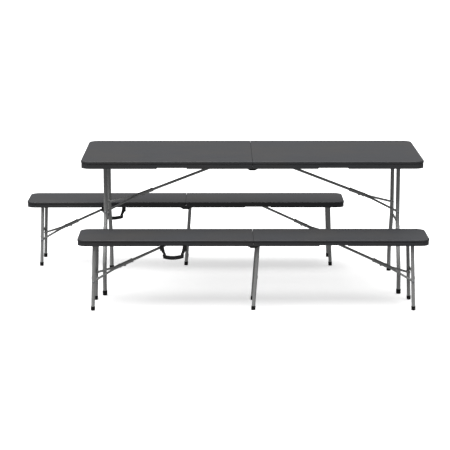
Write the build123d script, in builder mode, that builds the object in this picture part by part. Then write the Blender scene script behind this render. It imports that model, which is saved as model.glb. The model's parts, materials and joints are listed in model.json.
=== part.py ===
# Bi-fold table with two bi-fold benches, millimetres, +Z up, floor at z = 0.
# Every half-top carries its own folding steel legs and a brace with a sliding lock collar.
from build123d import *
from math import atan2, cos, hypot, radians, sin
from types import SimpleNamespace
import os

os.makedirs("parts", exist_ok=True)

# Driving dimensions of the table and of a bench.
table = SimpleNamespace(
    length=1830.0,
    width=760.0,
    height=740.0,
    apron=40.0,  # edge height
    panel=15.0,  # thickness of the hollow panel
    skin=3.0,  # wall of the moulded panel
    rim=30.0,  # width of the edge wall
    corner=55.0,  # plan radius of the outer corners
    lip=12.0,  # height of the upper lip
    pivot_depth=14.0,  # leg pivot below the panel's underside
    hinge_drop=4.0,  # fold axis below the apron's lower edge
    tube=11.0,  # leg tube radius
    pivot_pin=6.0,  # journal radius at the rails
    cap_wall=1.8,  # rubber round the end of a leg tube
    cap_height=26.0,
    rail=3.0,  # rail thickness
    leg_inset=120.0,  # leg pivot in from the end of the top
    leg_top_inset=185.0,  # upper leg tubes in from the edge wall
    foot_out=141.0,  # feet outside the upper leg tubes
    lane=16.0,  # the two leg frames pass each other by this much when folding
    splay=0.0,  # degrees the legs lean outwards
    brace_drop=283.0,  # fork pivot below the leg pivot
    bar_drop=365.0,  # cross strip below the leg pivot
    bar=(16.0, 4.0),  # cross strip height and thickness
    flare=250.0,  # length over which a leg flares outwards
    rod_start=60.0,  # rod pivot from the seam
    rod=7.5,  # brace rod radius
    collar_wall=4.0,  # lock collar round the rod
    collar_length=90.0,
    arm=6.0,  # fork arm radius
    dimples=(5, 4),
    notch=(350.0, 510.0, 5.0),  # hand notch: from, to, height
    middle_leg=False,
    strap=False,
)
bench = SimpleNamespace(
    length=1830.0,
    width=310.0,
    height=380.0,
    apron=32.0,
    panel=10.0,
    skin=2.5,
    rim=18.0,
    corner=50.0,
    lip=10.0,
    pivot_depth=12.5,
    hinge_drop=4.0,
    tube=9.5,
    pivot_pin=4.5,
    cap_wall=1.5,
    cap_height=22.0,
    rail=2.5,
    leg_inset=90.0,
    leg_top_inset=15.0,
    foot_out=0.0,
    lane=0.0,
    splay=2.0,
    brace_drop=205.0,
    bar_drop=185.0,
    bar=(14.0, 3.0),
    flare=0.0,
    rod_start=385.0,
    rod=7.0,
    collar_wall=4.0,
    collar_length=80.0,
    arm=6.0,
    dimples=(7, 2),
    notch=(340.0, 490.0, 5.0),
    middle_leg=True,
    strap=True,
)
bench_gap = 12.0  # between a bench's inner edge and the table's edge, seen from above
front_bench_x = 0.0
rear_bench_x = -370.0

seam_gap = 1.5
edge_inset = 2.0  # apron face behind the lip
groove = 3.0  # height of the shadow groove under the lip
groove_depth = 1.5
running = 0.05  # radial clearance of every running fit
lane_gap = 0.5  # between pieces that turn side by side
tube_wall = 1.2
sole = 6.0  # rubber under the end of a leg tube
bar_room = 1.0  # between a folded cross strip and the rod beside it
flare_rounding = 4.0  # flare length over the radius of its bends
late_bend = 50.0  # the right legs flare this much lower than the left ones, so both fold flat
cap_skirt = 4.0  # a foot cap starts this far under the floor and is cut off level
hinge_plate = 3.0
hinge_pin = 3.0
hinge_pin_x = 12.0  # each half turns on its own pin, this far from the seam
hinge_eye = 7.0  # radius of a leaf's eye
hinge_cheek = 9.0  # radius of the housing round a pin
hinge_web = (8.0, 2.0)  # strip that joins the two cheeks of a housing
hinge_flange = (28.0, 12.0, 2.5)  # foot of a leaf against the panel
housing_reach = 31.0  # half the width of the V-shaped housing
housing_rise = 2.0  # top of the housing above the apron's lower edge
hinge_reach = 70.0  # each leaf keeps this much of the half-top to itself
leaf_plate = (17.5, 66.5)  # upright plate of a leaf: from, to, measured from the seam
leaf_root = (31.5, 45.5)  # where the arm to the eye leaves that plate
leaf_root_height = 4.0
leaf_foot_x = 52.5
leaf_lift = 1.0  # lower edge of the plate above the apron's
seam_wall = 14.0
cavity_corner = 5.0
rail_start = 25.0  # the rails start this far past the hinge leaves
rail_end = 45.0  # and end this far past the leg pivots
rail_margin = 4.0  # steel of a rail under its pivot hole
plate_margin = 3.0  # and of the middle leg's plates
ear_margin = 3.5  # and of a rod bracket's ears
screw_shares = (0.05, 0.42, 0.7, 0.97)  # places of the screws along a rail
pillar_draft = 25.0  # degrees
notch_rounding = 0.9  # corner radius of a hand notch, as a share of its height
middle_leg_gap = 2.0  # between the seam wall and the middle leg
middle_leg_room = 1.5  # beside the middle leg's plates
middle_plate_run = 4.0  # the middle leg's plates are this much longer than its tube is wide
strap_wire = 2.0
wire_overlap = 6.0  # the strap's wire goes this far into the wall at each end
wire_depth = 1.0  # wire below the top of its notch
wire_end_room = 1.0
strap_gap = 6.0  # beside the strap in its notch
strap_ribbon = 21.0
strap_thickness = 2.5
strap_drop = 62.0
strap_sag = 8.0
strap_lean = 10.0
strap_grip = 17.0  # height of the part that the hand holds
strap_cover = 4.0  # webbing above the wire
bracket_plate = 3.0
bracket_pin = 4.0
bracket_foot = 2.0  # plate against the panel
bracket_step = 3.0  # the foot is this much longer than the ears, at each end
eye = 10.0
eye_neck = 0.7  # the rod's tube starts inside its eye, at this share of the radius
boss_length = 11.0
boss_side = 1.0  # beside the boss that turns on a leg's stud
boss_rim = 1.0  # the boss at the joint is this much larger than the rod
stud_length = 2.0
stud_share = 0.7  # radius of the joint's stud, as a share of the rod's
cheek_length = 4.0  # a cheek's length, in arm radii
fork_start = 2.4  # arms leave the cheeks at this many arm radii past the joint
ear_width = 24.0
collar_ring = 10.0  # length of the ring at each end of the lock collar
collar_step = 1.2  # height of those rings
collar_gap = 4.0  # between the lock collar and the boss
pivot_end = 0.3  # a leg's journals end this far inside the rail's outer face
screw_head = (4.0, 1.2)
screw_shank = (2.0, 9.0)
screw_dome = 35.0  # degrees


def derive(f):
    """Works out every dependent size of one piece of furniture."""
    f.half = f.length / 2
    f.under = f.height - f.panel
    f.bottom = f.height - f.apron
    f.pivot_z = f.under - f.pivot_depth
    f.pivot_x = f.half - f.leg_inset
    f.hinge_z = f.bottom - f.hinge_drop
    f.cavity_y = f.width / 2 - f.rim
    f.leg_top_y = f.cavity_y - f.leg_top_inset
    f.foot_y = f.leg_top_y + f.foot_out
    f.cap = f.tube + f.cap_wall
    f.collar = f.rod + f.collar_wall
    f.bar_offset = f.rod + bar_room + f.bar[1] / 2
    f.lean = radians(f.splay)
    f.brace_x = f.pivot_x + f.brace_drop * sin(f.lean)
    f.brace_z = f.pivot_z - f.brace_drop * cos(f.lean)
    span = hypot(f.brace_x - f.rod_start, f.pivot_z - f.brace_z)
    reach = f.pivot_x - f.brace_drop - f.rod_start
    f.rod_length = (span + reach) / 2
    f.fork_length = (span - reach) / 2
    f.brace_angle = atan2(f.pivot_z - f.brace_z, f.brace_x - f.rod_start)
    f.leg_length = f.pivot_z / cos(f.lean)
    f.rod_lane = f.collar + lane_gap
    return f


def half_outline(f, side, inset):
    """One half of the top in plan, rounded at the outer end, with straight edges at the seam."""
    reach = f.half - inset
    with BuildSketch(mode=Mode.PRIVATE) as outline:
        with Locations((side * (reach + seam_gap / 2) / 2, 0)):
            Rectangle(reach - seam_gap / 2, f.width - 2 * inset)
        outer = outline.vertices().filter_by(lambda v: abs(v.X) > f.half / 2)
        fillet(outer, radius=f.corner - inset)
    return outline.sketch


def notch_centre(f):
    return (f.notch[0] + f.notch[1]) / 2


def wire_plane(f):
    """Where the strap's wire lies in the hand notch of the left half."""
    origin = (-notch_centre(f), f.rim / 2 - f.width / 2, f.bottom + f.notch[2] - strap_wire - wire_depth)
    return Plane(origin, z_dir=(1, 0, 0))


def wire_length(f):
    return f.notch[1] - f.notch[0] + 2 * wire_overlap


def rail_span(f):
    """Where the rails start and end along the half-top."""
    return hinge_reach + rail_start, f.pivot_x + rail_end


def screw_places(f):
    """Distances from the seam of the screws that hold a rail."""
    first, last = rail_span(f)
    return [first + (last - first) * share for share in screw_shares]


def top_half(f, side):
    """Hollow moulded half-top: panel, lip, grooved edge wall, dimpled underside."""
    with BuildPart() as top:
        with BuildSketch(Plane.XY.offset(f.bottom)):
            add(half_outline(f, side, edge_inset))
        extrude(amount=f.apron - f.lip)
        with BuildSketch(Plane.XY.offset(f.height - f.lip)):
            add(half_outline(f, side, 0.0))
        extrude(amount=f.lip)
        crown = top.faces().sort_by(Axis.Z)[-1]
        rim_edges = crown.edges().filter_by(lambda e: abs(e.center().X) > seam_gap)
        fillet(rim_edges, radius=f.lip / 3)
        with BuildSketch(Plane.XY.offset(f.height - f.lip - groove)):
            add(half_outline(f, side, edge_inset))
            add(half_outline(f, side, edge_inset + groove_depth), mode=Mode.SUBTRACT)
        extrude(amount=groove, mode=Mode.SUBTRACT)
        cavity_length = f.half - f.rim - seam_wall
        with BuildSketch(Plane.XY.offset(f.bottom)):
            with Locations((side * (seam_wall + cavity_length / 2), 0)):
                RectangleRounded(cavity_length, 2 * f.cavity_y, cavity_corner)
        extrude(amount=f.apron - f.panel, mode=Mode.SUBTRACT)
        # the hinges run through the seam wall in slots at both ends of it
        slot = f.cavity_y - hinge_lane(f, 3)
        with BuildSketch(Plane.XY.offset(f.bottom)):
            with Locations(
                (side * seam_wall, f.cavity_y - slot / 2),
                (side * seam_wall, slot / 2 - f.cavity_y),
            ):
                Rectangle(2 * seam_wall, slot)
        extrude(amount=f.apron - f.panel, mode=Mode.SUBTRACT)
        # hollow inside the panel, with pillars where the two skins meet
        void_length = f.half - f.rim - 2 * f.skin
        pillar_x = void_length / f.dimples[0]
        pillar_y = 2 * f.cavity_y / f.dimples[1]
        centre = side * (f.skin + void_length / 2)
        pillar = f.panel
        with BuildSketch(Plane.XY.offset(f.under + f.skin)):
            with Locations((centre, 0)):
                Rectangle(void_length, 2 * f.cavity_y - 2 * f.skin)
                with GridLocations(pillar_x, pillar_y, f.dimples[0], f.dimples[1]):
                    Circle(pillar, mode=Mode.SUBTRACT)
        extrude(amount=f.panel - 2 * f.skin, mode=Mode.SUBTRACT)
        with BuildSketch(Plane.XY.offset(f.under)):
            with Locations((centre, 0)):
                with GridLocations(pillar_x, pillar_y, f.dimples[0], f.dimples[1]):
                    Circle(pillar - f.skin)
        extrude(amount=f.panel - 2 * f.skin, taper=pillar_draft, mode=Mode.SUBTRACT)
        with BuildSketch(Plane.XY.offset(f.under)):
            with Locations((centre - side * pillar_x / 2, 0)):
                Circle(f.skin)
        extrude(amount=f.panel / 2, mode=Mode.SUBTRACT)
        # hand notch in the lower edge of the front wall
        with BuildSketch(Plane.XZ.offset(f.width / 2)):
            with Locations((side * notch_centre(f), f.bottom)):
                RectangleRounded(f.notch[1] - f.notch[0], 2 * f.notch[2], f.notch[2] * notch_rounding)
        extrude(amount=-f.rim, mode=Mode.SUBTRACT)
        if f.strap and side < 0:
            with Locations(wire_plane(f)):
                Cylinder(strap_wire + running, wire_length(f) + 2 * wire_end_room, mode=Mode.SUBTRACT)
        # screw holes for the rails
        for x in screw_places(f):
            with Locations(Plane((side * x, 0, f.pivot_z), z_dir=(0, 1, 0))):
                depth = 2 * (f.cavity_y + screw_shank[1] - f.rail)
                Cylinder(screw_shank[0], depth, mode=Mode.SUBTRACT)
    return top


def rails(f, side):
    """Flat steel rails against the edge walls, which hold the leg pivots."""
    first, last = rail_span(f)
    middle = side * (first + last) / 2
    depth = f.pivot_depth + f.pivot_pin + rail_margin
    with BuildPart() as steel:
        for edge in (-1, 1):
            with Locations((middle, edge * (f.cavity_y - f.rail / 2), f.under - depth / 2)):
                Box(last - first, f.rail, depth)
        for x in screw_places(f):
            with Locations(Plane((side * x, 0, f.pivot_z), z_dir=(0, 1, 0))):
                Cylinder(screw_shank[0], f.width, mode=Mode.SUBTRACT)
        with Locations(Plane((side * f.pivot_x, 0, f.pivot_z), z_dir=(0, 1, 0))):
            Cylinder(f.pivot_pin + running, f.width, mode=Mode.SUBTRACT)
        bracket(f, side)
        if f.middle_leg and side > 0:
            middle_ears(f)
            with Locations(Plane((middle_x(f), 0, f.pivot_z), z_dir=(0, 1, 0))):
                Cylinder(f.pivot_pin + running, f.width, mode=Mode.SUBTRACT)
    return steel


def middle_x(f):
    return seam_wall + f.tube + middle_leg_gap


def middle_y(f):
    """Half the width of the middle leg frame, which fits between the hinge leaves."""
    return hinge_lane(f, 3) - bracket_plate - f.tube - middle_leg_room


def middle_ears(f):
    """Two plates under the panel that hold the middle leg's pivot."""
    depth = f.pivot_depth + f.pivot_pin + plate_margin
    y = middle_y(f) + f.tube + lane_gap + bracket_plate / 2
    for edge in (-1, 1):
        with Locations((middle_x(f) + lane_gap, edge * y, f.under - depth / 2)):
            Box(2 * f.tube + middle_plate_run, bracket_plate, depth)


def bracket(f, side):
    """U-shaped bracket and pin under the panel, on which the brace rod turns."""
    ear_y = f.rod + lane_gap + bracket_plate / 2
    depth = f.pivot_depth + bracket_pin + ear_margin
    with Locations((side * f.rod_start, 0, f.under - bracket_foot / 2)):
        Box(ear_width, 2 * ear_y + bracket_plate, bracket_foot)
    for edge in (-1, 1):
        with Locations((side * f.rod_start, edge * ear_y, f.under - depth / 2)):
            Box(ear_width - 2 * bracket_step, bracket_plate, depth)
    with Locations(Plane((side * f.rod_start, 0, f.pivot_z), z_dir=(0, 1, 0))):
        Cylinder(bracket_pin, 2 * ear_y + 2 * bracket_plate)


def screws(f, side):
    """Round-head screws that hold the rails to the edge walls."""
    with BuildPart() as fasteners:
        for x in screw_places(f):
            for edge in (-1, 1):
                face = edge * (f.cavity_y - f.rail)
                with BuildSketch(Plane((side * x, face, f.pivot_z), z_dir=(0, edge, 0))):
                    Circle(screw_shank[0])
                extrude(amount=screw_shank[1])
                with BuildSketch(Plane((side * x, face, f.pivot_z), z_dir=(0, -edge, 0))):
                    Circle(screw_head[0])
                extrude(amount=screw_head[1], taper=screw_dome)
    return fasteners


def hinge_lane(f, lane):
    """Outer face of one of the three plates that lie side by side in a hinge."""
    return f.cavity_y - lane_gap - lane * (hinge_plate + lane_gap)


def hinge_leaf(f, side):
    """Black steel leaf at each end of the seam, with an eye that turns on the pin of its half."""
    near = hinge_lane(f, 1)
    low = f.bottom + leaf_lift
    plate_x = side * (leaf_plate[0] + leaf_plate[1]) / 2
    root_x = side * (leaf_root[0] + leaf_root[1]) / 2
    foot, reach, thickness = hinge_flange
    with BuildPart() as leaves:
        for edge in (-1, 1):
            with BuildSketch(Plane((0, edge * near, 0), x_dir=(1, 0, 0), z_dir=(0, -1, 0))):
                with Locations((side * hinge_pin_x, f.hinge_z)):
                    Circle(hinge_eye)
                with Locations((root_x, low + leaf_root_height / 2)):
                    Rectangle(leaf_root[1] - leaf_root[0], leaf_root_height)
                make_hull()
                with Locations((plate_x, (low + f.under) / 2)):
                    Rectangle(leaf_plate[1] - leaf_plate[0], f.under - low)
            extrude(amount=edge * hinge_plate)
            with Locations((side * leaf_foot_x, edge * (near - reach / 2), f.under - thickness / 2)):
                Box(foot, reach, thickness)
        with Locations(Plane((side * hinge_pin_x, 0, f.hinge_z), z_dir=(0, 1, 0))):
            Cylinder(hinge_pin + running, f.width, mode=Mode.SUBTRACT)
    return leaves


def hinge_housing(f):
    """V-shaped housing at each end of the seam: two cheeks, a web under them and two pins."""
    with BuildPart() as housing:
        for edge in (-1, 1):
            for lane in (0, 2):
                near = hinge_lane(f, lane)
                with BuildSketch(Plane((0, edge * near, 0), x_dir=(1, 0, 0), z_dir=(0, -1, 0))):
                    with Locations((-hinge_pin_x, f.hinge_z), (hinge_pin_x, f.hinge_z)):
                        Circle(hinge_cheek)
                    with Locations((0, f.bottom)):
                        Rectangle(2 * housing_reach, 2 * housing_rise)
                    make_hull()
                extrude(amount=edge * hinge_plate)
            outer = hinge_lane(f, 0)
            depth = outer - hinge_lane(f, 3) - lane_gap
            middle = edge * (outer - depth / 2)
            with Locations((0, middle, f.hinge_z - hinge_cheek + hinge_web[1] / 2)):
                Box(hinge_web[0], depth, hinge_web[1])
            for end in (-1, 1):
                with Locations(Plane((end * hinge_pin_x, middle, f.hinge_z), z_dir=(0, 1, 0))):
                    Cylinder(hinge_pin, depth)
    return housing


def leg_plane(f, x, lean):
    """Plane of a leg frame: local x runs across, local y up the leg to its pivot."""
    return Plane(origin=(x, 0, f.pivot_z), x_dir=(0, 1, 0), z_dir=(cos(lean), 0, sin(lean)))


def tube_along(path, radius):
    """Round tube along the path, with an open bore."""
    with BuildSketch(Plane(origin=path @ 0, z_dir=path % 0), mode=Mode.PRIVATE) as section:
        Circle(radius)
        Circle(radius - tube_wall, mode=Mode.SUBTRACT)
    sweep(sections=section.sketch, path=path)


def leg_frame(f, plane, top_y, foot_y, length, bend, rail_y, outwards, with_studs):
    """Two leg tubes on a pivot tube, tied by a cross strip."""
    with BuildPart() as frame:
        for edge in (-1, 1):
            with BuildLine(plane) as leg:
                if f.flare > 0:
                    FilletPolyline(
                        (edge * top_y, 0),
                        (edge * top_y, -bend),
                        (edge * foot_y, -bend - f.flare),
                        (edge * foot_y, -length),
                        radius=f.flare / flare_rounding,
                    )
                else:
                    Line((edge * top_y, 0), (edge * foot_y, -length))
            tube_along(leg.wires()[0], f.tube)
        axle = Plane(plane.origin, z_dir=(0, 1, 0))
        with Locations(axle):
            Cylinder(f.tube, 2 * (rail_y - lane_gap))
            Cylinder(f.pivot_pin, 2 * (rail_y + f.rail - pivot_end))
        strip = plane.offset(outwards * f.bar_offset - f.bar[1] / 2)
        bar_y = top_y
        if f.flare > 0:
            bar_y += (foot_y - top_y) * max(0.0, f.bar_drop - bend) / f.flare
        with BuildSketch(strip):
            with Locations((0, -f.bar_drop)):
                Rectangle(2 * bar_y, f.bar[0])
        extrude(amount=f.bar[1])
        if with_studs:
            stud = plane.from_local_coords(Vector(0, -f.brace_drop, 0))
            for edge in (-1, 1):
                with BuildSketch(Plane((stud.X, edge * top_y, stud.Z), z_dir=(0, -edge, 0))):
                    Circle(bracket_pin)
                extrude(amount=f.tube + boss_length - boss_side)
    return frame


def feet(f, plane, foot_y, length):
    """Rubber caps that take the ends of the leg tubes."""
    with BuildPart() as caps:
        for edge in (-1, 1):
            end = Plane(
                origin=plane.from_local_coords(Vector(edge * foot_y, -length - sole - cap_skirt, 0)),
                z_dir=plane.y_dir,
            )
            with BuildSketch(end):
                Circle(f.cap)
            extrude(amount=f.cap_height + cap_skirt)
        split(bisect_by=Plane.XY, keep=Keep.TOP)
        soles = caps.faces().filter_by(Plane.XY).group_by(Axis.Z)[0]
        fillet(soles.edges(), radius=f.cap / 3)
        for edge in (-1, 1):
            start = Plane(
                origin=plane.from_local_coords(Vector(edge * foot_y, -length, 0)),
                z_dir=plane.y_dir,
            )
            with BuildSketch(start):
                Circle(f.tube)
            extrude(amount=2 * f.cap_height, mode=Mode.SUBTRACT)
    return caps


def brace_plane(f, side):
    """Plane of a brace seen from the front: local x runs down the rod from its pivot."""
    along = (side * cos(f.brace_angle), 0, -sin(f.brace_angle))
    return Plane(origin=(side * f.rod_start, 0, f.pivot_z), x_dir=along, z_dir=(0, -side, 0))


def brace_rod(f, side):
    """Rod with an eye at the bracket and a pressed tongue and boss at the joint."""
    plane = brace_plane(f, side)
    along = Plane(plane.origin, z_dir=plane.x_dir)
    with BuildPart() as rod:
        with BuildSketch(along.offset(eye * eye_neck)):
            Circle(f.rod)
        extrude(amount=f.rod_length - eye * eye_neck - f.rod / 2)
        with Locations(plane):
            Cylinder(eye, 2 * f.rod)
        with Locations(Plane(plane.from_local_coords(Vector(f.rod_length, 0, 0)), z_dir=plane.z_dir)):
            Cylinder(f.rod + boss_rim, 2 * f.rod_lane - 2 * lane_gap)
        with Locations(plane):
            Cylinder(bracket_pin + running, f.width, mode=Mode.SUBTRACT)
    return rod


def brace_fork(f, side, pivot_y):
    """Two arms from the brace joint to a stud on each leg, as a V in plan."""
    plane = brace_plane(f, side)
    joint = plane.from_local_coords(Vector(f.rod_length, 0, 0))
    pivot = plane.from_local_coords(Vector(f.rod_length + f.fork_length, 0, 0))
    outer = pivot_y - f.tube - boss_side
    arm_y = outer - boss_length / 2 - boss_side
    with BuildPart() as fork:
        for edge in (-1, 1):
            inner = edge * f.rod_lane
            cheek = Plane((joint.X, inner, joint.Z), x_dir=plane.x_dir, z_dir=(0, -side, 0))
            with BuildSketch(cheek):
                with Locations((f.arm, 0)):
                    SlotCenterToCenter(cheek_length * f.arm, 2 * f.rod)
            extrude(amount=-side * edge * hinge_plate)
            stud_y = inner + edge * (hinge_plate + stud_length / 2)
            with Locations(Plane((joint.X, stud_y, joint.Z), z_dir=(0, edge, 0))):
                Cylinder(f.rod * stud_share, stud_length)
            start = joint + plane.x_dir * fork_start * f.arm + Vector(0, inner + edge * f.arm, 0)
            end = Vector(pivot.X, edge * arm_y, pivot.Z)
            with BuildSketch(Plane(start, z_dir=end - start)):
                Circle(f.arm)
            extrude(amount=(end - start).length)
            boss_y = edge * (outer - boss_length / 2)
            with Locations(Plane((pivot.X, boss_y, pivot.Z), z_dir=(0, 1, 0))):
                Cylinder(f.arm + bracket_pin, boss_length)
        with Locations(Plane((pivot.X, 0, pivot.Z), z_dir=(0, 1, 0))):
            Cylinder(bracket_pin + running, 4 * f.width, mode=Mode.SUBTRACT)
    return fork


def brace_collar(f, side):
    """Lock collar that slides on the rod, with a ring at each end and a thumb stud."""
    plane = brace_plane(f, side)
    along = Plane(plane.origin, z_dir=plane.x_dir)
    first = f.rod_length - f.rod - collar_gap - f.collar_length
    with BuildPart() as collar:
        with BuildSketch(along.offset(first)):
            Circle(f.collar - collar_step)
        extrude(amount=f.collar_length)
        for start in (first, first + f.collar_length - collar_ring):
            with BuildSketch(along.offset(start)):
                Circle(f.collar)
            extrude(amount=collar_ring)
        with BuildSketch(along.offset(first)):
            Circle(f.rod + running)
        extrude(amount=f.collar_length, mode=Mode.SUBTRACT)
    return collar


def strap_handle(f):
    """Webbing carry handle on a wire in the hand notch of the left half."""
    wire = wire_plane(f)
    reach = (f.notch[1] - f.notch[0]) / 2 - strap_gap
    low = reach - strap_lean
    inner = reach - strap_ribbon
    cover = strap_cover
    grip_top = strap_grip - strap_drop
    front = wire.origin - Vector(0, strap_thickness / 2, 0)
    with BuildPart() as strap:
        with BuildSketch(Plane(front, x_dir=(1, 0, 0), z_dir=(0, -1, 0))):
            with BuildLine():
                Polyline((low, -strap_drop), (reach, 0), (-reach, 0), (-low, -strap_drop))
                ThreePointArc((-low, -strap_drop), (0, -strap_drop - strap_sag), (low, -strap_drop))
            make_face()
            with BuildLine():
                Polyline((inner, grip_top), (inner, cover), (-inner, cover), (-inner, grip_top))
                ThreePointArc((-inner, grip_top), (0, grip_top - strap_sag), (inner, grip_top))
            make_face(mode=Mode.SUBTRACT)
        extrude(amount=-strap_thickness)
        with Locations(wire):
            Cylinder(strap_wire, wire_length(f))
    return strap


def save(piece, name, place):
    """Labels one finished piece, puts it in its place and writes it."""
    piece.part = piece.part.moved(place)
    piece.part.label = name
    export_step(piece.part, f"parts/{name}.step")


def build(f, prefix, centre):
    """Builds every piece of one table or bench around its own centre."""
    place = Location((centre[0], centre[1], 0))
    for side, word in ((-1, "left"), (1, "right")):
        lean = side * f.lean
        plane = leg_plane(f, side * f.pivot_x, lean)
        bend = f.brace_drop + f.tube + late_bend * (1 + side) / 2
        top_y = f.leg_top_y
        foot_y = f.foot_y - side * f.lane
        rail_y = f.cavity_y - f.rail
        save(top_half(f, side), f"{prefix}_top_{word}", place)
        save(rails(f, side), f"{prefix}_rails_{word}", place)
        if not f.middle_leg:
            save(screws(f, side), f"{prefix}_screws_{word}", place)
        save(hinge_leaf(f, side), f"{prefix}_hinge_{word}", place)
        length = f.leg_length - sole
        frame = leg_frame(f, plane, top_y, foot_y, length, bend, rail_y, side, True)
        save(frame, f"{prefix}_legs_{word}", place)
        save(feet(f, plane, foot_y, length), f"{prefix}_feet_{word}", place)
        save(brace_rod(f, side), f"{prefix}_rod_{word}", place)
        save(brace_fork(f, side, top_y), f"{prefix}_fork_{word}", place)
        save(brace_collar(f, side), f"{prefix}_collar_{word}", place)
    save(hinge_housing(f), f"{prefix}_housing", place)
    if f.middle_leg:
        lean = -atan2(middle_x(f), f.pivot_z)
        plane = leg_plane(f, middle_x(f), lean)
        length = f.pivot_z / cos(lean) - sole
        y = middle_y(f)
        rail_y = y + f.tube + lane_gap
        frame = leg_frame(f, plane, y, y, length, 0, rail_y, 1, False)
        save(frame, f"{prefix}_legs_middle", place)
        save(feet(f, plane, y, length), f"{prefix}_feet_middle", place)
    if f.strap:
        save(strap_handle(f), f"{prefix}_handle", place)


derive(table)
derive(bench)
bench_y = table.width / 2 + bench_gap + bench.width / 2
low_x = min(-table.half, front_bench_x - bench.half, rear_bench_x - bench.half)
high_x = max(table.half, front_bench_x + bench.half, rear_bench_x + bench.half)
shift = -(low_x + high_x) / 2
build(table, "table", (shift, 0.0))
build(bench, "front_bench", (shift + front_bench_x, -bench_y))
build(bench, "rear_bench", (shift + rear_bench_x, bench_y))
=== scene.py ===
import json
import math
import bmesh
import bpy
from mathutils import Matrix, Vector


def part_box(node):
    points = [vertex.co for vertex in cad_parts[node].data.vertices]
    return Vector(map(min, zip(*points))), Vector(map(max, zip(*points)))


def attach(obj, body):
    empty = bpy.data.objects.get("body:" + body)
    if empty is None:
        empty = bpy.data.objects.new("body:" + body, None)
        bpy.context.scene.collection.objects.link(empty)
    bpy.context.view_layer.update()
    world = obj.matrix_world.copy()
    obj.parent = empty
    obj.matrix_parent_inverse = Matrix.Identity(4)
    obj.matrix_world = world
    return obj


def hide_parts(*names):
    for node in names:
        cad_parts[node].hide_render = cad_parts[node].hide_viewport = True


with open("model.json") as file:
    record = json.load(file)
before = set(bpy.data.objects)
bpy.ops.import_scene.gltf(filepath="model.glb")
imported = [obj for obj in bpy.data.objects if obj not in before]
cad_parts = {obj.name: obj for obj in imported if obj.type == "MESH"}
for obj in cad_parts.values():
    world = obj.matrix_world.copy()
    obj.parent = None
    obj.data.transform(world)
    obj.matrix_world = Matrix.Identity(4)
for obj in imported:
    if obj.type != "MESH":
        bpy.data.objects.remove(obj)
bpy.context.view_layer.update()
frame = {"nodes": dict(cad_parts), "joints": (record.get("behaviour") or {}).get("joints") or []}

print("frame loaded")

nodes = frame["nodes"]
jointOf = {joint["name"]: joint for joint in frame["joints"]}
groups = ("table", "front_bench", "rear_bench")
sides = {"left": -1, "right": 1}


def linear(hexColour):
    # sRGB hex to linear RGBA
    channels = [int(hexColour[i:i + 2], 16) / 255 for i in (1, 3, 5)]
    curve = [c / 12.92 if c <= 0.04045 else ((c + 0.055) / 1.055) ** 2.4 for c in channels]
    return (*curve, 1.0)


def addNode(tree, kind, inputs=None, **settings):
    # one node: settings are its own properties, inputs are socket values or the sockets that feed them
    node = tree.nodes.new(kind)
    for name, value in settings.items():
        setattr(node, name, value)
    for name, value in (inputs or {}).items():
        if isinstance(value, bpy.types.NodeSocket):
            tree.links.new(value, node.inputs[name])
        else:
            node.inputs[name].default_value = value
    return node


def newMaterial(name, roughness, metallic=0.0, ior=None, specular=None, coat=0.0, sheen=0.0):
    material = bpy.data.materials.new(name)
    material.use_nodes = True
    tree = material.node_tree
    tree.nodes.clear()
    shader = addNode(tree, "ShaderNodeBsdfPrincipled", {"Roughness": roughness, "Metallic": metallic})
    if ior:
        shader.inputs["IOR"].default_value = ior
    if specular is not None:
        shader.inputs["Specular IOR Level"].default_value = specular
    if coat:
        shader.inputs["Coat Weight"].default_value = coat
        shader.inputs["Coat Roughness"].default_value = 0.3
    if sheen:
        shader.inputs["Sheen Weight"].default_value = sheen
        shader.inputs["Sheen Roughness"].default_value = 0.5
    addNode(tree, "ShaderNodeOutputMaterial", {"Surface": shader.outputs["BSDF"]})
    where = addNode(tree, "ShaderNodeTexCoord").outputs["Object"]
    return material, tree, shader, where


# blow-moulded high-density polyethylene: satin, a fine lengthwise grain from the mould, softly mottled
polyethylene = {
    "base": "#4c4d51", "dark": "#3a3b3e", "warm": "#4e4a45",
    "grainLength": 0.16, "grainWidth": 0.0022,  # drawn about twice as coarse as the real 1 mm grain so that it shows
    "roughness": 0.42, "bump": 0.00025,
}


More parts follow.
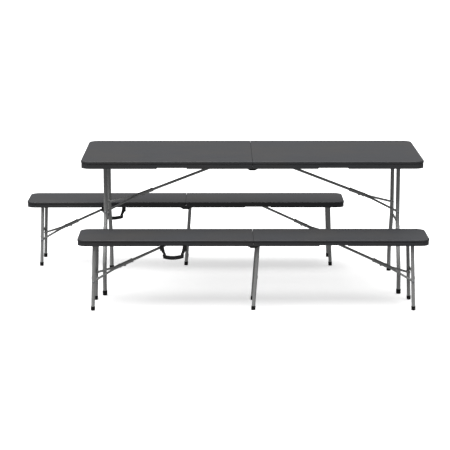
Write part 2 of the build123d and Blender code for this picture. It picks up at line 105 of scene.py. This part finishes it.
def mouldedPolyethylene():
    p = polyethylene
    material, tree, shader, where = newMaterial("moulded_polyethylene", p["roughness"], ior=1.54, specular=0.5)
    grainSpace = addNode(tree, "ShaderNodeMapping", {
        "Vector": where, "Scale": (1 / p["grainLength"], 1 / p["grainWidth"], 1 / p["grainWidth"])})
    grain = addNode(tree, "ShaderNodeTexNoise", {
        "Vector": grainSpace.outputs["Vector"], "Scale": 1.0, "Detail": 6.0, "Roughness": 0.62, "Distortion": 0.35})
    cathedralSpace = addNode(tree, "ShaderNodeMapping", {"Vector": where, "Scale": (1.6, 11.0, 11.0)})
    cathedral = addNode(tree, "ShaderNodeTexWave", {
        "Vector": cathedralSpace.outputs["Vector"], "Scale": 1.4, "Distortion": 9.0, "Detail": 3.0,
        "Detail Scale": 1.2, "Detail Roughness": 0.6}, wave_type="BANDS", bands_direction="Y")
    mottle = addNode(tree, "ShaderNodeTexNoise", {"Vector": where, "Scale": 3.2, "Detail": 4.0, "Roughness": 0.55})
    pores = addNode(tree, "ShaderNodeTexNoise", {"Vector": where, "Scale": 900.0, "Detail": 2.0})
    grainTone = addNode(tree, "ShaderNodeMapRange", {
        "Value": grain.outputs["Fac"], "From Min": 0.36, "From Max": 0.66})
    tone = addNode(tree, "ShaderNodeMix", {
        "Factor": grainTone.outputs["Result"], "A": linear(p["dark"]), "B": linear(p["base"])}, data_type="RGBA")
    ringFactor = addNode(tree, "ShaderNodeMapRange", {
        "Value": cathedral.outputs["Fac"], "From Min": 0.2, "From Max": 1.0, "To Min": 0.0, "To Max": 0.28})
    rings = addNode(tree, "ShaderNodeMix", {
        "Factor": ringFactor.outputs["Result"], "A": tone.outputs[2], "B": linear(p["dark"])}, data_type="RGBA")
    warmFactor = addNode(tree, "ShaderNodeMapRange", {
        "Value": mottle.outputs["Fac"], "From Min": 0.45, "From Max": 0.75, "To Min": 0.0, "To Max": 0.5})
    warmed = addNode(tree, "ShaderNodeMix", {
        "Factor": warmFactor.outputs["Result"], "A": rings.outputs[2], "B": linear(p["warm"])}, data_type="RGBA")
    tree.links.new(warmed.outputs[2], shader.inputs["Base Color"])
    rough = addNode(tree, "ShaderNodeMapRange", {
        "Value": grain.outputs["Fac"], "From Min": 0.3, "From Max": 0.7,
        "To Min": p["roughness"] - 0.07, "To Max": p["roughness"] + 0.09})
    tree.links.new(rough.outputs["Result"], shader.inputs["Roughness"])
    poreBump = addNode(tree, "ShaderNodeBump", {
        "Height": pores.outputs["Fac"], "Strength": 0.25, "Distance": 0.0001})
    grainBump = addNode(tree, "ShaderNodeBump", {
        "Height": grain.outputs["Fac"], "Strength": 0.6, "Distance": p["bump"], "Normal": poreBump.outputs["Normal"]})
    ringBump = addNode(tree, "ShaderNodeBump", {
        "Height": cathedral.outputs["Fac"], "Strength": 0.12, "Distance": p["bump"] * 2,
        "Normal": grainBump.outputs["Normal"]})
    tree.links.new(ringBump.outputs["Normal"], shader.inputs["Normal"])
    return material


# powder-coated mild steel: grey polyester coat with a faint orange peel and rubbed edges
powderCoat = {
    "base": "#bcbdbc", "fleck": "#a8a9a8", "rubbed": "#cbcccb",
    "peel": 0.0016,  # ripple spacing, drawn about twice as coarse as the real 0.8 mm
    "roughness": 0.4,
}


def powderCoatedSteel(name="powder_coated_steel", tones=powderCoat, coat=0.15):
    material, tree, shader, where = newMaterial(name, tones["roughness"], ior=1.5, specular=0.5, coat=coat)
    peel = addNode(tree, "ShaderNodeTexNoise", {"Vector": where, "Scale": 1 / tones["peel"], "Detail": 3.0, "Roughness": 0.5})
    fleck = addNode(tree, "ShaderNodeTexVoronoi", {"Vector": where, "Scale": 850.0}, feature="F1")
    patches = addNode(tree, "ShaderNodeTexNoise", {"Vector": where, "Scale": 14.0, "Detail": 5.0, "Roughness": 0.6})
    fleckTone = addNode(tree, "ShaderNodeMapRange", {
        "Value": fleck.outputs["Distance"], "From Min": 0.1, "From Max": 0.6, "To Min": 0.0, "To Max": 0.7})
    tone = addNode(tree, "ShaderNodeMix", {
        "Factor": fleckTone.outputs["Result"], "A": linear(tones["fleck"]), "B": linear(tones["base"])}, data_type="RGBA")
    edge = addNode(tree, "ShaderNodeNewGeometry")
    wear = addNode(tree, "ShaderNodeMapRange", {
        "Value": edge.outputs["Pointiness"], "From Min": 0.53, "From Max": 0.62, "To Min": 0.0, "To Max": 0.6})
    patchy = addNode(tree, "ShaderNodeMath", {0: wear.outputs["Result"], 1: patches.outputs["Fac"]}, operation="MULTIPLY")
    worn = addNode(tree, "ShaderNodeMix", {
        "Factor": patchy.outputs["Value"], "A": tone.outputs[2], "B": linear(tones["rubbed"])}, data_type="RGBA")
    tree.links.new(worn.outputs[2], shader.inputs["Base Color"])
    rough = addNode(tree, "ShaderNodeMapRange", {
        "Value": patches.outputs["Fac"], "From Min": 0.3, "From Max": 0.7,
        "To Min": tones["roughness"] - 0.06, "To Max": tones["roughness"] + 0.1})
    tree.links.new(rough.outputs["Result"], shader.inputs["Roughness"])
    bump = addNode(tree, "ShaderNodeBump", {"Height": peel.outputs["Fac"], "Strength": 0.35, "Distance": 0.00012})
    tree.links.new(bump.outputs["Normal"], shader.inputs["Normal"])
    return material


# e-coated black steel: thin, smooth, slightly shiny
blackCoat = {"base": "#1b1b1c", "fleck": "#141415", "rubbed": "#3a3a3b", "peel": 0.0012, "roughness": 0.45}

# thermoplastic rubber: matt, soft-edged, dusty where it meets the ground
capRubber = {"base": "#161616", "dust": "#4a4845", "roughness": 0.62, "grit": 0.0015}


def footRubber():
    p = capRubber
    material, tree, shader, where = newMaterial("foot_cap_rubber", p["roughness"], ior=1.52, specular=0.35)
    axes = addNode(tree, "ShaderNodeSeparateXYZ", {"Vector": where})
    low = addNode(tree, "ShaderNodeMapRange", {
        "Value": axes.outputs["Z"], "From Min": 0.0, "From Max": 0.016, "To Min": 0.5, "To Max": 0.0})
    grit = addNode(tree, "ShaderNodeTexNoise", {"Vector": where, "Scale": 1 / p["grit"], "Detail": 5.0, "Roughness": 0.7})
    dusty = addNode(tree, "ShaderNodeMath", {0: low.outputs["Result"], 1: grit.outputs["Fac"]}, operation="MULTIPLY")
    tone = addNode(tree, "ShaderNodeMix", {
        "Factor": dusty.outputs["Value"], "A": linear(p["base"]), "B": linear(p["dust"])}, data_type="RGBA")
    tree.links.new(tone.outputs[2], shader.inputs["Base Color"])
    rough = addNode(tree, "ShaderNodeMapRange", {"Value": grit.outputs["Fac"], "To Min": 0.52, "To Max": 0.8})
    tree.links.new(rough.outputs["Result"], shader.inputs["Roughness"])
    bump = addNode(tree, "ShaderNodeBump", {"Height": grit.outputs["Fac"], "Strength": 0.3, "Distance": 0.0002})
    tree.links.new(bump.outputs["Normal"], shader.inputs["Normal"])
    return material


# bright zinc plate over steel: cool silver with fine turning marks
zincPlate = {"base": "#c9ccd0", "dull": "#9a9da2", "roughness": 0.26, "marks": 0.0005}


def zincPlatedSteel():
    p = zincPlate
    material, tree, shader, where = newMaterial("zinc_plated_steel", p["roughness"], metallic=1.0)
    stain = addNode(tree, "ShaderNodeTexNoise", {"Vector": where, "Scale": 120.0, "Detail": 4.0})
    tone = addNode(tree, "ShaderNodeMix", {
        "Factor": stain.outputs["Fac"], "A": linear(p["base"]), "B": linear(p["dull"])}, data_type="RGBA")
    tree.links.new(tone.outputs[2], shader.inputs["Base Color"])
    marks = addNode(tree, "ShaderNodeTexNoise", {"Vector": where, "Scale": 1 / p["marks"], "Detail": 2.0})
    rough = addNode(tree, "ShaderNodeMapRange", {"Value": marks.outputs["Fac"], "To Min": 0.18, "To Max": 0.42})
    tree.links.new(rough.outputs["Result"], shader.inputs["Roughness"])
    bump = addNode(tree, "ShaderNodeBump", {"Height": marks.outputs["Fac"], "Strength": 0.2, "Distance": 0.00005})
    tree.links.new(bump.outputs["Normal"], shader.inputs["Normal"])
    return material


# polypropylene webbing: woven black tape with raised ribs and a slight shine on each yarn; the darker colour in the
# gaps between the ribs is painted shade, and the lit patches are a painted sheen
webbing = {"yarn": "#1a1a1b", "gap": "#070707", "lit": "#343436", "rib": 0.0026, "roughness": 0.55}  # ribs twice as coarse


def wovenWebbing():
    p = webbing
    material, tree, shader, where = newMaterial("polypropylene_webbing", p["roughness"], ior=1.49, sheen=0.3)
    pitch = 2 * math.pi / p["rib"] / 20  # a wave texture has about 20 / (2 pi) bands per unit at scale 1
    across = addNode(tree, "ShaderNodeTexWave", {
        "Vector": where, "Scale": pitch, "Distortion": 0.4, "Detail": 1.0}, wave_type="BANDS", bands_direction="X")
    along = addNode(tree, "ShaderNodeTexWave", {
        "Vector": where, "Scale": pitch, "Distortion": 0.4, "Detail": 1.0}, wave_type="BANDS", bands_direction="Z")
    weave = addNode(tree, "ShaderNodeMath", {0: across.outputs["Fac"], 1: along.outputs["Fac"]}, operation="MULTIPLY")
    fuzz = addNode(tree, "ShaderNodeTexNoise", {"Vector": where, "Scale": 700.0, "Detail": 3.0})
    # painted shade: the low gaps of the weave are coloured darker than the yarn
    tone = addNode(tree, "ShaderNodeMix", {
        "Factor": weave.outputs["Value"], "A": linear(p["gap"]), "B": linear(p["yarn"])}, data_type="RGBA")
    # painted sheen: noise patches are lifted towards the lit colour
    litFactor = addNode(tree, "ShaderNodeMapRange", {
        "Value": fuzz.outputs["Fac"], "From Min": 0.45, "From Max": 0.7, "To Min": 0.0, "To Max": 0.5})
    lit = addNode(tree, "ShaderNodeMix", {
        "Factor": litFactor.outputs["Result"], "A": tone.outputs[2], "B": linear(p["lit"])}, data_type="RGBA")
    tree.links.new(lit.outputs[2], shader.inputs["Base Color"])
    rough = addNode(tree, "ShaderNodeMapRange", {"Value": fuzz.outputs["Fac"], "To Min": 0.45, "To Max": 0.7})
    tree.links.new(rough.outputs["Result"], shader.inputs["Roughness"])
    bump = addNode(tree, "ShaderNodeBump", {"Height": weave.outputs["Value"], "Strength": 0.7, "Distance": 0.0005})
    tree.links.new(bump.outputs["Normal"], shader.inputs["Normal"])
    return material


finishes = {
    "plastic": mouldedPolyethylene(),
    "steel": powderCoatedSteel(),
    "black": powderCoatedSteel("e_coated_black_steel", blackCoat, coat=0.0),
    "rubber": footRubber(),
    "zinc": zincPlatedSteel(),
    "webbing": wovenWebbing(),
}
finishOf = {
    "top": "plastic", "rails": "steel", "screws": "zinc", "hinge": "black", "legs": "steel",
    "housing": "black", "feet": "rubber", "rod": "steel", "fork": "steel", "collar": "steel", "handle": "webbing",
}
for nodeName, node in nodes.items():
    part = nodeName.replace("front_bench_", "").replace("rear_bench_", "").replace("table_", "").split("_")[0]
    node.data.materials.clear()
    node.data.materials.append(finishes[finishOf[part]])
print("materials set on", len(nodes), "frame nodes")


def finishPiece(name, mesh, finish, body, smooth=True):
    # a bmesh becomes a piece that rides on its body
    bmesh.ops.recalc_face_normals(mesh, faces=mesh.faces)
    data = bpy.data.meshes.new(name)
    mesh.to_mesh(data)
    mesh.free()
    data.materials.append(finishes[finish])
    for face in data.polygons:
        face.use_smooth = smooth
    piece = bpy.data.objects.new(name, data)
    bpy.context.scene.collection.objects.link(piece)
    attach(piece, body)
    return piece


def addTurned(mesh, profile, place, steps=28):
    # spins (radius, height) points about local z into a closed shape and puts it in place
    part = bmesh.new()
    verts = [part.verts.new((radius, 0, height)) for radius, height in profile]
    edges = [part.edges.new(pair) for pair in zip(verts, verts[1:])]
    bmesh.ops.spin(
        part, geom=verts + edges, cent=(0, 0, 0), axis=(0, 0, 1), angle=2 * math.pi, steps=steps, use_merge=True)
    bmesh.ops.remove_doubles(part, verts=part.verts, dist=1e-6)
    joinInto(mesh, part, place)


def joinInto(mesh, part, place):
    # moves a part into place and adds it to the piece's mesh
    bmesh.ops.transform(part, matrix=place, verts=part.verts)
    bmesh.ops.recalc_face_normals(part, faces=part.faces)
    data = bpy.data.meshes.new("joined")
    part.to_mesh(data)
    part.free()
    mesh.from_mesh(data)
    bpy.data.meshes.remove(data)


def facing(origin, direction):
    # puts local z along a direction at an origin
    turn = Vector((0, 0, 1)).rotation_difference(Vector(direction)).to_matrix().to_4x4()
    return Matrix.Translation(origin) @ turn


def jointPlace(name):
    return Vector(jointOf[name]["pos_m"])


# the steelwork's own sizes, the same as the frame's
steelwork = {
    "table": {"tube": 0.011, "rod": 0.0075, "collar": 0.0115, "cap": 0.0128, "capHeight": 0.026, "bar": 0.016},
    "bench": {"tube": 0.0095, "rod": 0.007, "collar": 0.011, "cap": 0.011, "capHeight": 0.022, "bar": 0.014},
    "laneGap": 0.0005, "cheek": 0.003, "stud": 0.002,
}


def sizesOf(group):
    return steelwork["table" if group == "table" else "bench"]


# domed rivets: flange, dome and the small dimple that the setting tool leaves
rivet = {
    "radius": 0.0062, "flange": 0.0009, "dome": 0.0026, "dimple": 0.0005, "sunk": 0.0012,
    "legFlatness": 0.45,  # a folded bench leg passes close beside its rail
}


def rivetProfile(scale=1.0, flatness=1.0):
    r = rivet
    radius, flange, dome = r["radius"] * scale, r["flange"] * scale, r["dome"] * scale * flatness
    profile = [(0, -r["sunk"]), (radius, -r["sunk"]), (radius, flange * 0.6), (radius * 0.93, flange)]
    profile += [
        (radius * 0.84 * math.cos(turn), flange + dome * math.sin(turn))
        for turn in (0.0, 0.3, 0.6, 0.85, 1.1, 1.3)]
    profile += [(radius * 0.12, flange + dome * 0.99), (0, flange + dome - r["dimple"] * 0.3)]
    return profile


def braceJoint(group, word):
    # where rod and fork meet, worked out from the three pivots of a brace
    leg, fork, rod = (jointPlace(f"{group}_{kind}_{word}") for kind in ("leg", "fork", "brace"))
    span = (fork - rod).length
    reach = abs(leg.x - rod.x) - (leg - fork).length
    along = (fork - rod).normalized()
    return rod + along * (span + reach) / 2, along, rod, fork


def buildRivets():
    for group in groups:
        s = sizesOf(group)
        for word, side in sides.items():
            joint, along, rodPivot, forkPivot = braceJoint(group, word)
            forkLow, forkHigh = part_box(f"{group}_fork_{word}")
            legs, fork, collar = bmesh.new(), bmesh.new(), bmesh.new()
            for edge, inner in ((-1, forkLow.y), (1, forkHigh.y)):
                outer = inner + edge * (0.001 + 2 * s["tube"])
                spot = Vector((forkPivot.x, outer, forkPivot.z))
                flatness = 1.0 if group == "table" else rivet["legFlatness"]
                addTurned(legs, rivetProfile(1.0, flatness), facing(spot, (0, edge, 0)))
                lane = s["collar"] + steelwork["laneGap"] + steelwork["cheek"] + steelwork["stud"]
                spot = Vector((joint.x, joint.y + edge * lane, joint.z))
                addTurned(fork, rivetProfile(), facing(spot, (0, edge, 0)))
                spot = joint - along * 0.024 + Vector((0, edge * (s["collar"] - 0.0004), 0))
                addTurned(collar, rivetProfile(0.72), facing(spot, (0, edge, 0)))
            finishPiece(f"{group}_leg_rivets_{word}", legs, "zinc", f"{group}_leg_frame_{word}")
            finishPiece(f"{group}_joint_rivets_{word}", fork, "zinc", f"{group}_brace_fork_{word}")
            finishPiece(f"{group}_collar_rivets_{word}", collar, "zinc", f"{group}_lock_collar_{word}")


# spring button under the lock collar, with a collar round it
lockButton = {"radius": 0.0045, "height": 0.005, "back": 0.042}


def buildLockButtons():
    b = lockButton
    radius, height = b["radius"], b["height"]
    for group in groups:
        s = sizesOf(group)
        for word, side in sides.items():
            joint, along, rodPivot, forkPivot = braceJoint(group, word)
            under = Vector((-along.z, 0, along.x))
            if under.z > 0:
                under = -under
            mesh = bmesh.new()
            place = facing(joint - along * b["back"] + under * (s["collar"] - 0.0018), under)
            addTurned(mesh, [
                (0, -0.001), (radius * 1.7, -0.001), (radius * 1.7, 0.0012), (radius * 1.5, 0.0018),
                (radius * 1.08, 0.0018), (radius, 0.0026), (radius, height * 0.8), (radius * 0.72, height),
                (0, height * 1.08)], place)
            finishPiece(f"{group}_lock_button_{word}", mesh, "steel", f"{group}_lock_collar_{word}")


# ribbed rings moulded round every foot cap
capRing = {"rings": 3, "pitch": 0.0045, "bead": 0.0007}


def buildCapRings():
    for group in groups:
        s = sizesOf(group)
        for word in (("left", "right") if group == "table" else ("left", "right", "middle")):
            low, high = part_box(f"{group}_feet_{word}")
            legPlace = jointPlace(f"{group}_leg_{word}")
            middleX = (low.x + high.x) / 2
            mesh = bmesh.new()
            for y in (low.y + s["cap"], high.y - s["cap"]):
                foot = Vector((middleX, y, s["capHeight"] / 2))
                top = Vector((legPlace.x, y, legPlace.z)) if group != "table" else foot + Vector((0, 0, 1))
                axis = (top - foot).normalized()
                for ring in range(capRing["rings"]):
                    height = s["capHeight"] * 0.94 - ring * capRing["pitch"]
                    centre = foot + axis * (height - foot.z)
                    bead = capRing["bead"]
                    profile = [
                        (s["cap"] - bead * 0.5 + bead * math.cos(turn), bead * math.sin(turn))
                        for turn in [step * math.pi / 4 for step in range(9)]]
                    addTurned(mesh, profile, facing(centre, axis), 36)
            finishPiece(f"{group}_cap_rings_{word}", mesh, "rubber", f"{group}_leg_frame_{word}")


# weld beads where a cross strip meets the leg tubes
weld = {
    "radius": 0.0026, "ripples": 7, "ripple": 0.0005,
    "drop": {"table": 0.365, "bench": 0.185},
    "tableY": {"left": 0.2096, "right": 0.1755},  # the table's legs already flare there
}


def weldBead(mesh, centre, length):
    profile = [(0, -length / 2)]
    for step in range(1, 4 * weld["ripples"]):
        share = step / (4 * weld["ripples"])
        swell = math.sin(math.pi * share) ** 0.4
        wave = weld["ripple"] * abs(math.sin(math.pi * share * weld["ripples"]))
        profile.append(((weld["radius"] - weld["ripple"] + wave) * swell, length * (share - 0.5)))
    profile.append((0, length / 2))
    addTurned(mesh, profile, facing(centre, (0, 1, 0)), 12)


def buildWelds():
    for group in groups:
        s = sizesOf(group)
        for word in legWords(group):
            leg = jointPlace(f"{group}_leg_{word}")
            low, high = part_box(f"{group}_feet_{word}")
            down = (Vector(((low.x + high.x) / 2, leg.y, 0)) - leg).normalized()
            outwards = Vector((-down.z, 0, down.x)) * sides.get(word, 1)
            legY = weld["tableY"][word] if group == "table" else (high.y - low.y) / 2 - s["cap"]
            drop = weld["drop"]["table" if group == "table" else "bench"]
            mesh = bmesh.new()
            for edge in (-1, 1):
                for end in (-1, 1):
                    centre = leg + Vector((0, edge * legY, 0)) + down * (drop + end * s["bar"] / 2)
                    weldBead(mesh, centre + outwards * s["tube"] * 0.82, s["tube"] * 1.3)
            finishPiece(f"{group}_weld_beads_{word}", mesh, "steel", f"{group}_leg_frame_{word}")


# round-head screws with a cross recess that hold the bench rails, seen from below
benchScrew = {"radius": 0.004, "head": 0.0018, "recess": 0.0026, "slot": 0.0009}


def buildBenchScrews():
    b = benchScrew
    for group in groups[1:]:
        low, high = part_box(f"{group}_rails_left")
        middle = (jointPlace(f"{group}_leg_left").x + jointPlace(f"{group}_leg_right").x) / 2
        near, far = middle - high.x, middle - low.x
        for word, side in sides.items():
            mesh = bmesh.new()
            pivot = jointPlace(f"{group}_leg_{word}")
            for share in (0.05, 0.42, 0.7, 0.97):
                x = middle + side * (near + (far - near) * share)
                for edge, y in ((1, low.y + 0.0025), (-1, high.y - 0.0025)):
                    place = facing((x, y, pivot.z), (0, edge, 0))
                    addTurned(mesh, [
                        (0, -0.0008), (b["radius"], -0.0008), (b["radius"] * 0.97, b["head"] * 0.35),
                        (b["radius"] * 0.8, b["head"] * 0.8), (b["radius"] * 0.5, b["head"]),
                        (0, b["head"] * 1.05)], place, 20)
                    for turn in (0, math.pi / 2):
                        cross = bmesh.new()
                        bmesh.ops.create_cube(cross, size=1)
                        bmesh.ops.scale(cross, vec=(b["recess"] * 2, b["slot"], 0.0005), verts=cross.verts)
                        bmesh.ops.bevel(
                            cross, geom=cross.edges[:], offset=0.00012, affect="EDGES", segments=2, profile=0.5,
                            material=-1)
                        lift = Matrix.Translation((0, 0, b["head"] * 1.02)) @ Matrix.Rotation(turn, 4, "Z")
                        joinInto(mesh, cross, place @ lift)
            finishPiece(f"{group}_rail_screws_{word}", mesh, "zinc", f"{group}_half_{word}")


# webbing carry loop: two hanging ribbons and a doubled, sagging grip between them
carryLoop = {
    "halfWidth": 0.0705, "ribbon": 0.0225, "thickness": 0.0016, "drop": 0.053, "sag": 0.0105,
    "grip": 0.0185, "gripThickness": 0.0046, "gripInset": 0.016,
    # each hanging ribbon: inwards, forwards and down from where it leaves the wire
    "hang": [
        (0.0, 0.0032, -0.004), (0.001, 0.0036, 0.012), (0.006, 0.003, 0.028), (0.013, 0.002, 0.043),
        (0.017, 0.001, 0.057)],
    # and how it folds: share of its width, and how far its edge turns forwards
    "folds": [(1.0, 0.0), (1.0, 0.0), (0.86, 0.003), (0.7, 0.006), (0.6, 0.007)],
}


def band(mesh, centreLine, halfWidths, thickness, steps=24, across=6):
    # a flat band through points given as (x, y, z) with its half width as a vector at each point
    part = bmesh.new()
    bmesh.ops.create_grid(part, x_segments=steps, y_segments=across, size=1)
    count = len(centreLine) - 1
    for vert in part.verts:
        place = (vert.co.x + 1) / 2 * count
        index = min(int(place), count - 1)
        share = place - index
        smooth = share * share * (3 - 2 * share) if count > 4 else share
        centre = Vector(centreLine[index]).lerp(Vector(centreLine[index + 1]), smooth)
        width = Vector(halfWidths[index]).lerp(Vector(halfWidths[index + 1]), smooth)
        crown = thickness * 0.35 * (1 - vert.co.y ** 2)
        vert.co = centre + width * vert.co.y + Vector((0, -crown, 0))
    bmesh.ops.solidify(part, geom=part.faces[:], thickness=thickness)
    bmesh.ops.smooth_vert(part, verts=part.verts, factor=0.3, use_axis_x=True, use_axis_z=True, use_axis_y=True)
    joinInto(mesh, part, Matrix.Identity(4))


def stitchRow(mesh, start, end, count, front):
    # one row of short stitches that stand proud of the webbing
    start, end = Vector(start), Vector(end)
    step = (end - start) / count
    for index in range(count):
        centre = start + step * (index + 0.5)
        length = step.length * 0.62
        radius = 0.00042
        profile = [(0, -length / 2), (radius * 0.8, -length * 0.4), (radius, 0), (radius * 0.8, length * 0.4),
                   (0, length / 2)]
        addTurned(mesh, profile, facing(centre + Vector((0, front, 0)), step.normalized()), 8)


def buildCarryLoops():
    c = carryLoop
    for group in groups[1:]:
        low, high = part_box(f"{group}_handle")
        x0, y0, z0 = jointPlace(f"{group}_strap_swing")
        half, ribbon, drop = c["halfWidth"], c["ribbon"] / 2, c["drop"]
        mesh = bmesh.new()
        for edge in (-1, 1):
            centre = x0 + edge * (half - ribbon)
            line = [
                (centre - edge * inwards, y0 - forwards, z0 - down)
                for inwards, forwards, down in c["hang"]]
            widths = [
                (ribbon * share, depth * edge, 0)
                for share, depth in c["folds"]]
            band(mesh, line, widths, c["thickness"])
        # each ribbon goes over the wire and comes down again behind itself
        for edge in (-1, 1):
            x = x0 + edge * (half - ribbon)
            over = [(x, y0 - 0.0034, z0 - 0.001), (x, y0 - 0.0028, z0 + 0.0022), (x, y0, z0 + 0.0034),
                    (x, y0 + 0.0028, z0 + 0.0022), (x, y0 + 0.0034, z0 - 0.002), (x, y0 + 0.0012, z0 - 0.014),
                    (x, y0 - 0.0006, z0 - 0.026)]
            loop = bmesh.new()
            bmesh.ops.create_grid(loop, x_segments=24, y_segments=4, size=1)
            for vert in loop.verts:
                place = (vert.co.x + 1) / 2 * (len(over) - 1)
                index = min(int(place), len(over) - 2)
                vert.co = Vector(over[index]).lerp(Vector(over[index + 1]), place - index) + Vector(
                    (ribbon * 0.96 * vert.co.y, 0, 0))
            bmesh.ops.solidify(loop, geom=loop.faces[:], thickness=c["thickness"] * 0.6)
            joinInto(mesh, loop, Matrix.Identity(4))
            for height in (0.009, 0.012, 0.018):
                stitchRow(mesh, (x - ribbon * 0.8, y0, z0 - height), (x + ribbon * 0.8, y0, z0 - height), 7, -0.0056)
        # doubled grip, its ends a little past the ribbons
        gripLine, gripWidths = [], []
        left, right = x0 - half + c["gripInset"], x0 + half - c["gripInset"]
        for step in range(9):
            share = step / 8
            x = left + (right - left) * share
            z = z0 - drop - c["sag"] * math.sin(math.pi * min(1.0, share * 0.9 + 0.08))
            lean = -0.18 if step == 0 else 0.12 if step == 8 else 0.0
            gripLine.append((x, y0, z))
            gripWidths.append((c["grip"] / 2 * lean, 0, c["grip"] / 2))
        for layer in (-1, 1):
            line = [(x, y + layer * c["gripThickness"] * 0.27, z - layer * 0.0006) for x, y, z in gripLine]
            band(mesh, line, gripWidths, c["gripThickness"] * 0.5, steps=32, across=8)
        for index in range(len(gripLine) - 1):
            for edge in (-0.4, 0.4):
                a, b = Vector(gripLine[index]), Vector(gripLine[index + 1])
                lift = Vector((0, 0, edge * c["grip"]))
                stitchRow(mesh, a + lift, b + lift, 4, -0.0042)
        loopPiece = finishPiece(f"{group}_carry_loop", mesh, "webbing", f"{group}_strap", smooth=True)
        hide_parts(f"{group}_handle")
        wire = bmesh.new()
        length = high.x - low.x
        ends = 0.0007
        addTurned(wire, [
            (0, -length / 2), (0.002 - ends, -length / 2), (0.002, ends - length / 2), (0.002, length / 2 - ends),
            (0.002 - ends, length / 2), (0, length / 2)], facing((x0, y0, z0), (1, 0, 0)), 20)
        finishPiece(f"{group}_carry_wire", wire, "zinc", f"{group}_strap")


def legWords(group):
    return ("left", "right") if group == "table" else ("left", "right", "middle")


buildRivets()
buildLockButtons()
buildCapRings()
buildWelds()
buildBenchScrews()
buildCarryLoops()
print("detail pieces built")


# camera and studio
view = {
    "lens": 146.9, "distance": 10.0, "height": 2.285, "tilt": 11.1, "pan": -0.2,
    "across": -0.18,  # from the middle of the table
}
tableMiddle = (jointPlace("table_leg_left").x + jointPlace("table_leg_right").x) / 2
cameraData = bpy.data.cameras.new("camera")
cameraData.lens = view["lens"]
cameraData.sensor_width = 36
camera = bpy.data.objects.new("camera", cameraData)
bpy.context.scene.collection.objects.link(camera)
camera.location = (tableMiddle + view["across"], -view["distance"], view["height"])
camera.rotation_euler = (math.radians(90 - view["tilt"]), 0, math.radians(view["pan"]))
bpy.context.scene.camera = camera

studio = {
    "air": "#ffffff", "seenStrength": 1.0, "lightStrength": 0.22,
    "floor": "#ffffff", "floorGlow": 0.6, "floorHalf": 80.0,
    "sunStrength": 3.3, "sunSpread": 80, "sunLean": (9, -8),  # degrees
}


def buildStudio():
    world = bpy.data.worlds.new("studioAir")
    world.use_nodes = True
    tree = world.node_tree
    tree.nodes.clear()
    path = addNode(tree, "ShaderNodeLightPath")
    strength = addNode(tree, "ShaderNodeMapRange", {
        "Value": path.outputs["Is Camera Ray"], "To Min": studio["lightStrength"], "To Max": studio["seenStrength"]})
    background = addNode(tree, "ShaderNodeBackground", {
        "Color": linear(studio["air"]), "Strength": strength.outputs["Result"]})
    addNode(tree, "ShaderNodeOutputWorld", {"Surface": background.outputs["Background"]})
    bpy.context.scene.world = world
    bpy.context.scene.view_settings.view_transform = "Standard"
    material, floorTree, shader, where = newMaterial("matt_white_floor", 0.95, specular=0.0)
    shader.inputs["Base Color"].default_value = linear(studio["floor"])
    shader.inputs["Emission Color"].default_value = linear(studio["floor"])
    shader.inputs["Emission Strength"].default_value = studio["floorGlow"]
    mesh = bmesh.new()
    bmesh.ops.create_grid(mesh, x_segments=1, y_segments=1, size=studio["floorHalf"])
    data = bpy.data.meshes.new("studioFloor")
    mesh.to_mesh(data)
    mesh.free()
    data.materials.append(material)
    floor = bpy.data.objects.new("studioFloor", data)
    bpy.context.scene.collection.objects.link(floor)
    floor.visible_diffuse = False
    floor.visible_glossy = False
    sunData = bpy.data.lights.new("studioSun", "SUN")
    sunData.energy = studio["sunStrength"]
    sunData.angle = math.radians(studio["sunSpread"])
    sun = bpy.data.objects.new("studioSun", sunData)
    bpy.context.scene.collection.objects.link(sun)
    sun.rotation_euler = [math.radians(turn) for turn in (*studio["sunLean"], 0)]


buildStudio()
print("studio built")
